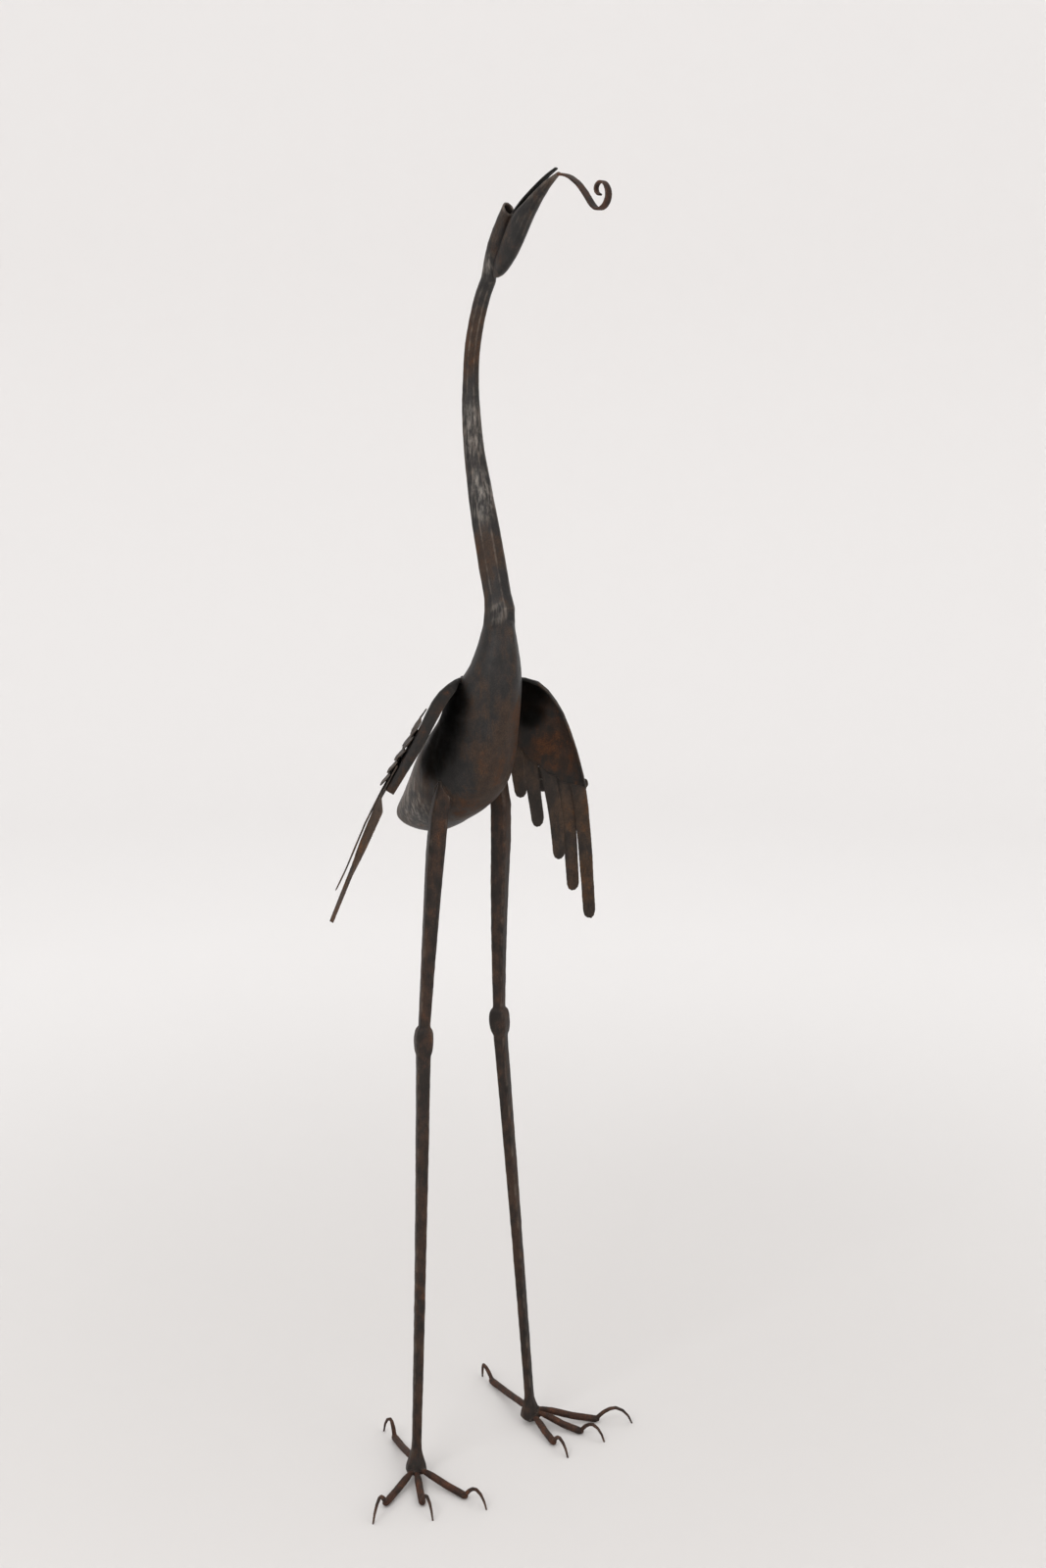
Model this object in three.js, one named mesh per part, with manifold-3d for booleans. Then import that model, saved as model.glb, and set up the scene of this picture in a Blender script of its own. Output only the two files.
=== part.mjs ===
// A wrought iron crane that stands on its own feet with the head raised and the tongue out.
// Millimetres, +Z up. The bird faces -Y, and its left side is +X.
// Places are worked out from a point on the floor midway between the ankles.
import * as THREE from "three";
import { mergeVertices } from "three/addons/utils/BufferGeometryUtils.js";
import Module from "manifold-3d";

const wasm = await Module();
wasm.setup();

// Sizes of the whole bird
const GAP = 0.3; // left where one piece is welded against another
const ANKLE_SPREAD = 105; // from the middle plane out to each ankle
const KNEE_SPREAD = 64;
const HIP_SPREAD = 52;
const KNEE_HEIGHT = 576;
const HIP_HEIGHT = 850;
const THIGH_TOP = 918; // the thigh ends inside the flank
const THIGH_SINK = 9; // how far its top leans in under the flank
const NECK_FOOT = 1108; // height where the neck bar meets the body
const SHOULDER = { out: 25, back: -12, up: 1038 };

// Bars
const THIGH_HALF = 11.4; // half the bar's width at the hip
const THIGH_END_HALF = 6.7; // just above the knee
const KNEE_HALF = 11.3;
const SHANK_HALF = 8.9; // just below the knee
const ANKLE_HALF = 6;
const SOCKET_RADIUS = 13.4; // flared foot of the leg that covers the toe roots
const SOCKET_HEIGHT = 42;
const TOE_RADIUS = 4.8;
const CLAW_RADIUS = 2.9;
const CLAW_FLAT = 1.3; // radius of the blunt end a claw stands on

// Sheet iron of the wings
const WING_SHEET = 2.2;
const FEATHER_THICK = 2;
const FEATHER_TIP_THICK = 1.3;
const COVERT_THICK = 1.4;
const WING_CHORD = 88; // from the leading edge to the trailing edge
const FLANGE = 15; // turned-in leading edge at its deepest

const V = (x, y, z) => new THREE.Vector3(x, y, z);
const lerp = THREE.MathUtils.lerp;
const clamp = THREE.MathUtils.clamp;
const rad = THREE.MathUtils.degToRad;
const ease = (x, from, to) => THREE.MathUtils.smoothstep(x, from, to);

// Reads a value off a smooth line through [position, value, value, ...] rows, position ascending.
function along(rows, at, column = 1) {
  const above = rows.findIndex((r) => r[0] > at);
  const i = above < 0 ? rows.length - 1 : Math.max(above, 1);
  const row = (k) => rows[clamp(k, 0, rows.length - 1)];
  const value = (k) => row(k)[column];
  const place = (k) => row(k)[0];
  const span = place(i) - place(i - 1);
  const t = clamp((at - place(i - 1)) / span, 0, 1);
  const slope = (k) => (value(k + 1) - value(k - 1)) / (place(k + 1) - place(k - 1));
  const m0 = slope(i - 1) * span;
  const m1 = slope(i) * span;
  const a = value(i - 1);
  const b = value(i);
  return (
    (2 * t ** 3 - 3 * t ** 2 + 1) * a +
    (t ** 3 - 2 * t ** 2 + t) * m0 +
    (3 * t ** 2 - 2 * t ** 3) * b +
    (t ** 3 - t ** 2) * m1
  );
}

// One closed body from shared points and triangles, turned so that its faces look out.
function closed(points, faces) {
  let volume = 0;
  for (const [a, b, c] of faces) volume += points[a].dot(V().crossVectors(points[b], points[c]));
  const turned = volume < 0 ? faces.map(([a, b, c]) => [a, c, b]) : faces;
  const geometry = new THREE.BufferGeometry().setFromPoints(points);
  geometry.setIndex(turned.flat());
  return geometry;
}

// A skin over rings of equal point counts, closed at both ends by fans.
function skin(rings) {
  const n = rings[0].length;
  const points = rings.flat();
  const faces = [];
  for (let i = 0; i + 1 < rings.length; i++)
    for (let j = 0; j < n; j++) {
      const a = i * n + j;
      const b = i * n + ((j + 1) % n);
      faces.push([a, b, b + n], [a, b + n, a + n]);
    }
  for (const [start, flip] of [[0, true], [(rings.length - 1) * n, false]]) {
    const centre = V();
    for (let j = 0; j < n; j++) centre.addScaledVector(points[start + j], 1 / n);
    const hub = points.push(centre) - 1;
    for (let j = 0; j < n; j++) {
      const a = start + j;
      const b = start + ((j + 1) % n);
      faces.push(flip ? [b, a, hub] : [a, b, hub]);
    }
  }
  return closed(points, faces);
}

// A ring of points about a centre: an oval with half sizes a and b along two directions.
function oval(centre, across, up, a, b, count) {
  const ring = [];
  for (let j = 0; j < count; j++) {
    const angle = (2 * Math.PI * (j + 0.5)) / count;
    ring.push(
      centre.clone()
        .addScaledVector(across, a * Math.cos(angle))
        .addScaledVector(up, b * Math.sin(angle)),
    );
  }
  return ring;
}

// A ring of eight points: a rectangle with cut corners.
function barRing(centre, across, up, a, b, cut) {
  const half = [
    [a, cut - b],
    [a, b - cut],
    [a - cut, b],
    [cut - a, b],
  ];
  const corners = [...half, ...half.map(([u, v]) => [-u, -v])];
  return corners.map(([u, v]) => centre.clone().addScaledVector(across, u).addScaledVector(up, v));
}

// A plate of even thickness over place(u, v), which gives its middle surface for u and v from 0 to 1.
function plate(place, us, vs, thick) {
  const middle = us.map((u) => vs.map((v) => place(u, v)));
  const at = (i, j) => middle[clamp(i, 0, us.length - 1)][clamp(j, 0, vs.length - 1)];
  const points = [];
  for (const side of [0.5, -0.5])
    us.forEach((u, i) =>
      vs.forEach((v, j) => {
        const du = at(i + 1, j).clone().sub(at(i - 1, j));
        const dv = at(i, j + 1).clone().sub(at(i, j - 1));
        const normal = V().crossVectors(du, dv).normalize();
        points.push(at(i, j).clone().addScaledVector(normal, side * thick(u, v)));
      }),
    );
  const id = (face, i, j) => (face * us.length + i) * vs.length + j;
  const faces = [];
  const quad = (a, b, c, d) => faces.push([a, b, c], [a, c, d]);
  for (let i = 0; i + 1 < us.length; i++)
    for (let j = 0; j + 1 < vs.length; j++) {
      quad(id(0, i, j), id(0, i + 1, j), id(0, i + 1, j + 1), id(0, i, j + 1));
      quad(id(1, i, j), id(1, i, j + 1), id(1, i + 1, j + 1), id(1, i + 1, j));
    }
  for (const i of [0, us.length - 1])
    for (let j = 0; j + 1 < vs.length; j++) {
      const rim = [id(0, i, j), id(0, i, j + 1), id(1, i, j + 1), id(1, i, j)];
      quad(...(i ? rim.reverse() : rim));
    }
  for (const j of [0, vs.length - 1])
    for (let i = 0; i + 1 < us.length; i++) {
      const rim = [id(0, i, j), id(1, i, j), id(1, i + 1, j), id(0, i + 1, j)];
      quad(...(j ? rim.reverse() : rim));
    }
  return closed(points, faces);
}

const steps = (count) => Array.from({ length: count + 1 }, (_, i) => i / count);

// Solid of a geometry, and the geometry of a solid.
function solid(geometry) {
  const merged = mergeVertices(geometry, 1e-4);
  return new wasm.Manifold(
    new wasm.Mesh({
      numProp: 3,
      vertProperties: merged.attributes.position.array,
      triVerts: new Uint32Array(merged.index.array),
    }),
  );
}
function geometryOf(made) {
  const mesh = made.getMesh();
  const geometry = new THREE.BufferGeometry();
  geometry.setAttribute("position", new THREE.BufferAttribute(mesh.vertProperties, 3));
  geometry.setIndex(new THREE.BufferAttribute(mesh.triVerts, 1));
  return geometry;
}
// The geometry less everything inside the other ones.
function cutBy(geometry, ...others) {
  return geometryOf(others.reduce((left, other) => left.subtract(solid(other)), solid(geometry)));
}

const ironDark = { color: 0x2e2825, roughness: 0.55, metalness: 0.85 };
const ironBrown = { color: 0x4a3428, roughness: 0.7, metalness: 0.6 };
const bird = new THREE.Group();
function add(name, geometry, iron) {
  const mesh = new THREE.Mesh(geometry, new THREE.MeshStandardMaterial(iron));
  mesh.name = name;
  bird.add(mesh);
}

// Body: a pear of sheet iron closed all round. Rows give height, distance back of its middle, half width
// and half depth of each level slice, from the rump up to the neck.
const bodySlices = [
  [828.7, 87.5, 8.5, 15],
  [833.7, 89, 21, 37],
  [842, 87, 30, 51.5],
  [854.5, 73, 39, 61.5],
  [882, 42.2, 50.5, 70],
  [910, 23.2, 54.5, 72],
  [937, 11, 54, 68.5],
  [985, -13.5, 47, 52],
  [1028, -34, 38, 38.5],
  [1059, -44, 30, 31],
  [1087, -47.5, 22, 24.5],
  [NECK_FOOT, -49, 18.5, 19.5],
];
const KEEL = 3; // how far the ridge down the breast stands out
function body(grow) {
  const bottom = bodySlices[0][0];
  const rings = [];
  const levels = 18;
  for (let i = 0; i <= levels; i++) {
    const share = i / levels;
    // slices crowd together towards the rump, where the form closes
    const z = lerp(bottom, NECK_FOOT, share ** 1.5);
    const [back, half, deep] = [1, 2, 3].map((column) => along(bodySlices, z, column));
    const ring = oval(V(0, back, z), V(1, 0, 0), V(0, 1, 0), half + grow, deep + grow, 24);
    const ridge = KEEL * ease(z, 900, 1000);
    ring.forEach((p) => {
      const front = (back - p.y) / (deep + grow);
      p.y -= ridge * Math.max(0, front) ** 24;
    });
    rings.push(ring);
  }
  rings[0].forEach((p) => (p.z -= grow));
  rings[levels].forEach((p) => (p.z += grow));
  return skin(rings);
}
add("body", body(0), ironDark);

// Neck: one eight-sided bar, thick at the foot and drawn out towards the head.
const neckLine = new THREE.CatmullRomCurve3([
  V(0, -49, NECK_FOOT + GAP),
  V(0, -50.5, 1122),
  V(0, -44, 1149),
  V(0, -32, 1197),
  V(0, -15, 1266),
  V(0, -3, 1325),
  V(0, 1, 1392),
  V(0, -5, 1447),
  V(0, -22, 1497),
  V(0, -31, 1513),
]);
// Half the bar's width at each height.
const neckHalf = [
  [1108, 19.3],
  [1118, 19.2],
  [1128, 17.6],
  [1140, 16.2],
  [1173, 16.4],
  [1219, 16],
  [1266, 14.3],
  [1313, 12.2],
  [1360, 10.9],
  [1406, 9.7],
  [1460, 9.2],
  [1513, 9.1],
];
const NECK_STEPS = 26;
function neck(grow) {
  const rings = steps(NECK_STEPS).map((t) => {
    const centre = neckLine.getPointAt(t);
    const tangent = t === 0 ? V(0, 0, 1) : neckLine.getTangentAt(t);
    const across = V(1, 0, 0);
    const half = along(neckHalf, centre.z) + grow;
    return barRing(centre, across, V().crossVectors(tangent, across), half, half, 0.58 * half);
  });
  rings[NECK_STEPS].forEach((p) => (p.z += grow));
  return skin(rings);
}
add("neck", neck(0), ironDark);

// Legs: each is one bar forged square, with a swelling at the knee and a flared foot.
function leg(side, { ankle, knee, hip, bow, heft, turn }, grow) {
  const heights = [];
  for (const z of [4, 7, 10, 17, 24, 31, 38, 46]) heights.push(z);
  for (const share of steps(6)) heights.push(lerp(70, KNEE_HEIGHT - 30, share));
  for (const dz of [-21, -16, -11, -5, 0, 5, 10, 14, 17, 21]) heights.push(KNEE_HEIGHT + dz);
  for (const share of steps(6)) heights.push(lerp(KNEE_HEIGHT + 45, THIGH_TOP, share));
  const rings = heights.map((z) => {
    const shank = z < KNEE_HEIGHT;
    const t = shank ? z / KNEE_HEIGHT : (z - KNEE_HEIGHT) / (HIP_HEIGHT - KNEE_HEIGHT);
    const out = shank ? lerp(ANKLE_SPREAD, KNEE_SPREAD, t) : lerp(KNEE_SPREAD, HIP_SPREAD, t);
    const x = side * (out - THIGH_SINK * ease(z, HIP_HEIGHT, THIGH_TOP));
    const y = shank
      ? lerp(ankle, knee, t) + bow.shank * Math.sin(Math.PI * t)
      : lerp(knee, hip, t) + bow.thigh * Math.sin(Math.PI * Math.min(t, 1));
    let half = shank
      ? heft * lerp(ANKLE_HALF, SHANK_HALF, t ** 1.6)
      : lerp(THIGH_END_HALF, THIGH_HALF, t ** 1.15);
    const rise = (z - KNEE_HEIGHT) / (shank ? 19 : 17);
    if (Math.abs(rise) < 1) half += (KNEE_HALF - half) * Math.sqrt(1 - rise * rise);
    let cut = 0.22 * half;
    if (z < SOCKET_HEIGHT) {
      half = lerp(SOCKET_RADIUS, half, ease(z, 8, SOCKET_HEIGHT));
      cut = lerp(0.58, 0.22, ease(z, 10, SOCKET_HEIGHT)) * half;
    }
    if (z < 10) half *= lerp(0.6, 1, (z - 4) / 6);
    if (z > HIP_HEIGHT) half *= lerp(1, 0.7, (z - HIP_HEIGHT) / (THIGH_TOP - HIP_HEIGHT));
    half += grow;
    const across = V(Math.cos(rad(turn)), Math.sin(rad(turn)), 0);
    const ahead = V(-Math.sin(rad(turn)), Math.cos(rad(turn)), 0);
    return barRing(V(x, y, z), across, ahead, half, half, cut);
  });
  return skin(rings);
}
// How far back the ankle, knee and hip stand, the bend between them, the weight of the shank and the way
// the square of the bar is turned.
const rightBend = {
  ankle: -0.7,
  knee: 24.5,
  hip: 9,
  bow: { shank: -1.5, thigh: 0.8 },
  heft: 0.98,
  turn: -30,
};
const leftBend = {
  ankle: 4.5,
  knee: 22.5,
  hip: 4,
  bow: { shank: -1, thigh: 2.5 },
  heft: 0.9,
  turn: 24,
};
const rightLeg = (grow) => leg(-1, rightBend, grow);
const leftLeg = (grow) => leg(1, leftBend, grow);
add("right_leg", cutBy(rightLeg(0), body(GAP)), ironBrown);
add("left_leg", cutBy(leftLeg(0), body(GAP)), ironBrown);

// Toes: a round bar that slopes down to the floor, blunt at its end, with a thin claw that rises and hooks
// down. aim and hook are the angles of the bar and of the claw tip from straight ahead, positive towards
// the bird's left; root is the height of the bar at the ankle; bar, top and tip are lengths from the ankle.
function toe(ankle, { aim, hook, root, bar, top, rise, tip }, grow) {
  const across = V(Math.cos(rad(aim)), Math.sin(rad(aim)), 0);
  const heading = (angle) => V(Math.sin(rad(angle)), -Math.cos(rad(angle)), 0);
  const way = (angle, out, up) => ankle.clone().addScaledVector(heading(angle), out).setZ(up);
  const centres = [
    [way(aim, 8, root), 3],
    [way(aim, 15, root - 0.3), 3.6],
    [way(aim, 28, lerp(root, 5.2, 0.2)), TOE_RADIUS],
    [way(aim, bar * 0.62, lerp(root, 5.2, 0.68)), TOE_RADIUS],
    [way(aim, bar - 3, 5.2), TOE_RADIUS],
    [way(aim, bar, 5.7), 4.2],
  ];
  const high = rise - CLAW_RADIUS;
  const claw = new THREE.CatmullRomCurve3([
    way(aim, bar + 1, 8.6),
    way(lerp(aim, hook, 0.3), lerp(bar + 1, top, 0.5), lerp(8.6, high, 0.74)),
    way(lerp(aim, hook, 0.6), top, high),
    way(lerp(aim, hook, 0.9), lerp(top, tip, 0.62), high * 0.68),
    way(hook, tip, 0),
  ]);
  steps(6).forEach((t) => centres.push([claw.getPoint(t), lerp(CLAW_RADIUS, CLAW_FLAT, t ** 1.4)]));
  const last = centres.length - 1;
  const rings = centres.map(([centre, radius], i) => {
    const next = centres[Math.min(last, i + 1)][0];
    const before = centres[Math.max(0, i - 1)][0];
    const tangent = next.clone().sub(before).normalize();
    if (i === last) tangent.set(0, 0, -1);
    const side = across.clone().addScaledVector(tangent, -across.dot(tangent)).normalize();
    return oval(centre, side, V().crossVectors(tangent, side), radius + grow, radius + grow, 8);
  });
  return skin(rings);
}
function foot(name, ankle, bend, legOf, toes) {
  const place = V(ankle, bend.ankle, 0);
  for (const [which, spec] of Object.entries(toes)) {
    // the toes either side of the middle one give way to it where they crowd together
    const beside = which === "middle" || which === "hind" ? [] : [toe(place, toes.middle, GAP)];
    add(`${name}_${which}_toe`, cutBy(toe(place, spec, 0), legOf(GAP), ...beside), ironBrown);
  }
}
foot("right", -ANKLE_SPREAD, rightBend, rightLeg, {
  outer: { aim: -67.5, hook: -65, root: 12, bar: 84, top: 104, rise: 26, tip: 127 },
  middle: { aim: -34, hook: -29.5, root: 11, bar: 76, top: 90, rise: 24, tip: 113 },
  inner: { aim: 5.5, hook: 5, root: 13, bar: 88, top: 107, rise: 24, tip: 125 },
  hind: { aim: 156, hook: 159, root: 20, bar: 102, top: 109, rise: 31, tip: 131 },
});
foot("left", ANKLE_SPREAD, leftBend, leftLeg, {
  inner: { aim: -18.5, hook: -17, root: 13, bar: 72, top: 87, rise: 21, tip: 109 },
  middle: { aim: 19.5, hook: 17.5, root: 17, bar: 76, top: 94, rise: 23, tip: 112 },
  outer: { aim: 47, hook: 46, root: 20, bar: 90, top: 115, rise: 25, tip: 137 },
  hind: { aim: 163, hook: 164, root: 18, bar: 127, top: 151, rise: 22, tip: 152 },
});

// Head: a tube rolled over the crown and left open at its top end.
const crownLine = new THREE.CatmullRomCurve3([
  V(0, -31.6, 1513.9),
  V(0, -36, 1530),
  V(0, -45.5, 1553),
  V(0, -57, 1576),
  V(0, -67.5, 1594),
]);
const CROWN_RADIUS = 10.2;
const CROWN_TAPER = 2; // loss of radius towards the open end
const CROWN_WALL = 1.8;
const CROWN_HOLLOW = 16; // depth of the open end
const CROWN_SLANT = 0.55; // how far the open end is cut back towards the front
function crown(grow) {
  const ring = (t, radius) => {
    const centre = crownLine.getPointAt(t);
    const across = V(1, 0, 0);
    const tangent = crownLine.getTangentAt(t);
    const up = V().crossVectors(tangent, across).addScaledVector(tangent, CROWN_SLANT * ease(t, 0.55, 1));
    return oval(centre, across, up, radius, radius, 16);
  };
  const radiusAt = (t) => lerp(8.6, CROWN_RADIUS, ease(t, 0, 0.45)) - CROWN_TAPER * ease(t, 0.6, 1);
  const rings = steps(9).map((t) => ring(t, radiusAt(t) + grow));
  if (grow) return skin(rings);
  const inner = radiusAt(1) - CROWN_WALL;
  const floor = 1 - CROWN_HOLLOW / crownLine.getLength();
  rings.push(ring(1, inner), ring(lerp(floor, 1, 0.5), inner), ring(floor, inner * 0.8));
  return skin(rings);
}
add("crown", cutBy(crown(0), neck(GAP)), ironDark);

// Jaw: cheeks and lower half of the beak in one. Rows give the share of its length, half width, height
// above its middle line and depth below it.
const jawLine = new THREE.CatmullRomCurve3([
  V(0, -44, 1517),
  V(0, -52, 1526),
  V(0, -62.5, 1541),
  V(0, -73, 1556.5),
  V(0, -83, 1572.5),
  V(0, -95.5, 1589),
  V(0, -111, 1604),
  V(0, -131, 1619),
  V(0, -152, 1630),
]);
const jawShape = [
  [0, 3.5, 2.5, 2.5],
  [0.08, 8, 8, 8.5],
  [0.22, 9.8, 11.5, 12.5],
  [0.38, 10.4, 13, 14],
  [0.5, 10.2, 12, 13.5],
  [0.62, 9, 5.5, 11.5],
  [0.75, 7.2, 3, 8.5],
  [0.88, 5, 2, 5.5],
  [1, 2.6, 1.2, 2],
];
function jaw() {
  const rings = steps(20).map((t) => {
    const centre = jawLine.getPointAt(t);
    const across = V(1, 0, 0);
    const up = V().crossVectors(across, jawLine.getTangentAt(t)).multiplyScalar(-1);
    const [half, above, below] = [1, 2, 3].map((column) => along(jawShape, t, column));
    return oval(centre, across, up, half, 1, 12).map((p) => {
      const lift = p.clone().sub(centre).dot(up);
      return p.addScaledVector(up, lift * ((lift > 0 ? above : below) - 1));
    });
  });
  return skin(rings);
}
add("jaw", cutBy(jaw(), crown(GAP)), ironDark);

// Upper beak: a thin flat strip above the gape.
const upperLine = new THREE.CatmullRomCurve3([
  V(0, -80, 1587.5),
  V(0, -89.5, 1597),
  V(0, -104, 1608.5),
  V(0, -121, 1620.5),
  V(0, -135.5, 1629.2),
  V(0, -147.5, 1635),
]);
{
  const rings = steps(10).map((t) => {
    const across = V(1, 0, 0);
    const up = V().crossVectors(across, upperLine.getTangentAt(t));
    return barRing(upperLine.getPointAt(t), across, up, lerp(7.5, 2.4, t ** 1.2), 1.3, 0.6);
  });
  add("upper_beak", cutBy(skin(rings), crown(GAP), jaw()), ironDark);
}

// Tongue: a flat strip that runs out over the tip of the beak and ends in a scroll.
const tongueLine = new THREE.CatmullRomCurve3([
  V(0, -150.6, 1628),
  V(0, -160, 1627),
  V(0, -169, 1624.3),
  V(0, -184, 1615.2),
  V(0, -200, 1598.5),
  V(0, -206.5, 1591),
  V(0, -214.4, 1586.6),
  V(0, -222.6, 1588.2),
  V(0, -228.8, 1594),
  V(0, -231, 1602),
  V(0, -228.8, 1610.3),
  V(0, -222, 1616),
  V(0, -215.2, 1615.2),
  V(0, -211.6, 1610.3),
  V(0, -213, 1604.6),
  V(0, -218, 1601.9),
]);
{
  const rings = steps(44).map((t) => {
    const across = V(1, 0, 0);
    const up = V().crossVectors(across, tongueLine.getTangentAt(t));
    const half = lerp(3.2, 4.9, ease(t, 0, 0.2)) * lerp(1, 0.62, ease(t, 0.6, 1));
    return oval(tongueLine.getPointAt(t), across, up, half * Math.SQRT2, lerp(1.4, 1, t) * Math.SQRT2, 4);
  });
  add("tongue", cutBy(skin(rings), jaw()), ironBrown);
}

// Wings. Each is a sheet whose leading edge is turned in, with five long feathers that hang from the outer
// face of its lower edge, and five overlapping rows of short feathers over their roots. The line of the
// leading edge is given from the shoulder: outward, back, up.
const leadingEdge = new THREE.CatmullRomCurve3([
  V(2, -1, 2),
  V(23, -13, 5),
  V(45, -23, 0),
  V(76, -29, -29),
  V(99, -28, -64),
  V(123, -21, -103),
  V(146, -10, -146),
  V(168, 6, -198),
  V(189, 22, -261),
  V(196, 28, -284),
]);
leadingEdge.arcLengthDivisions = 400;
const WING_LENGTH = leadingEdge.getLength();
const CHORD_WAY = V(-0.63, 0.76, -0.19).normalize();
const CAMBER = 1.5;
const TURN_IN = 6; // how far the trailing edge is turned in under the leading edge
// How far the wing lies inside the line of the leading edge. Between shoulder and tip it bulges out past it.
const wingIn = (s) => lerp(3, -4.5, ease(s, 35, 80) - ease(s, 215, 320));
// Width of the wing at each length along the leading edge.
const chordRows = [
  [0, 14],
  [25, 30],
  [50, 46],
  [100, 68],
  [150, 82],
  [200, WING_CHORD],
];
const chordAt = (s) => along(chordRows, s);
// Share of its full depth that the turned-in edge has at each length along the wing.
const flangeRows = [
  [0, 0.1],
  [25, 0.25],
  [55, 0.85],
  [80, 1],
  [130, 0.9],
  [205, 0.7],
];

// A point of the wing: s along the leading edge, c back across the chord, off out from the middle of the
// sheet.
function wingPoint(s, c, off) {
  const t = Math.min(s / WING_LENGTH, 1);
  const tangent = leadingEdge.getTangentAt(t);
  const outward = V().crossVectors(tangent, CHORD_WAY).normalize();
  const arch = CAMBER * Math.sin((Math.PI * Math.max(c, 0)) / Math.max(chordAt(s), c));
  const bow = arch - (TURN_IN * c) / WING_CHORD;
  const onEdge = leadingEdge.getPointAt(t);
  return onEdge.addScaledVector(CHORD_WAY, c).addScaledVector(outward, off + bow - wingIn(s));
}

// Sheet of the wing: its lower end slants back from the leading edge and is cut in lobes.
const SHEET_LENGTH = 204;
const SHEET_SLANT = 92;
const SHEET_LOBES = 5;
const LOBE_DEEP = 3.5;
const sheetEnd = (share) => SHEET_LENGTH - SHEET_SLANT * share ** 1.6;

function wingSheet() {
  const place = (u, v) => {
    const share = Math.max(v, 0);
    const lobe = LOBE_DEEP * Math.abs(Math.sin(share * SHEET_LOBES * Math.PI));
    const s = u * (sheetEnd(share) + (share > 0.1 ? lobe : 0));
    if (v > 0) return wingPoint(s, v * chordAt(s), 0);
    const corner = 1.2; // radius of the bend where the edge turns in
    const deep = FLANGE * along(flangeRows, s);
    return wingPoint(s, v < 0 ? 0 : corner, -Math.max(-v * deep, corner));
  };
  const across = [-1, -0.5, 0, 0.07, 0.2, 0.3, 0.4, 0.5, 0.6, 0.7, 0.8, 0.9, 1];
  return plate(place, steps(12), across, () => WING_SHEET);
}

// Long feathers, from the leading edge back: distance back of the middle line, how far it leans forward at
// the tip, end as a share of the wing's length, layer under the short feathers, and how far the tip springs
// outward. The front edge of the first one is turned in, by depths that each wing states.
const feathers = [
  { chord: 10.5, lean: 4.5, end: 0.985, layer: 1, splay: 0, edge: 1 },
  { chord: 27, lean: 1, end: 0.888, layer: 2, splay: 5, edge: 0 },
  { chord: 43.5, lean: 2.5, end: 0.767, layer: 1, splay: 1, edge: 0 },
  { chord: 63.5, lean: -1.5, end: 0.645, layer: 2, splay: 0, edge: 0 },
  { chord: 80, lean: 0, end: 0.53, layer: 1, splay: 0, edge: 0 },
];
const LAYER = WING_SHEET / 2 + FEATHER_THICK / 2 + GAP + 0.05;
const FEATHER_HALF = 9.6;
const FEATHER_TAPER = 0.82; // share of its width left at the tip
const FEATHER_ROUND = 10; // length of the rounded tip
const FEATHER_LAP = 30; // how far each long feather reaches up under the short ones
const featherStart = (chord) => sheetEnd(chord / WING_CHORD) - FEATHER_LAP;
function feather({ chord, lean, end, layer, splay, edge }, turnedIn) {
  const start = featherStart(chord);
  const tip = end * WING_LENGTH;
  const place = (u, v) => {
    const s = lerp(start, tip, v);
    const nearTip = Math.max(0, (s - (tip - FEATHER_ROUND)) / FEATHER_ROUND);
    const half = FEATHER_HALF * lerp(1, FEATHER_TAPER, v) * Math.sqrt(1 - 0.93 * nearTip ** 2);
    const c = (chord * chordAt(s)) / WING_CHORD - lean * v + u * half;
    const deep = lerp(turnedIn.middle, turnedIn.tip, ease(s, 240, 320));
    const turned = edge * deep * ((1 - u) / 2) * ease(s, SHEET_LENGTH + 13, SHEET_LENGTH + 28);
    return wingPoint(s, c, layer * LAYER + splay * v ** 3 - turned);
  };
  const rounded = FEATHER_ROUND / (tip - start);
  // the feather with a turned-in edge has points right below the end of the sheet, where the turn begins
  const rootward = edge ? [0, 0.2, 0.28] : [0, 0.25];
  const lengthwise = [...rootward, 0.5, 0.7, 0.85, 1 - rounded, 1 - 0.35 * rounded, 1];
  return plate(place, [-1, 0, 1], lengthwise, (u, v) => lerp(FEATHER_THICK, FEATHER_TIP_THICK, v ** 2));
}

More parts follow.
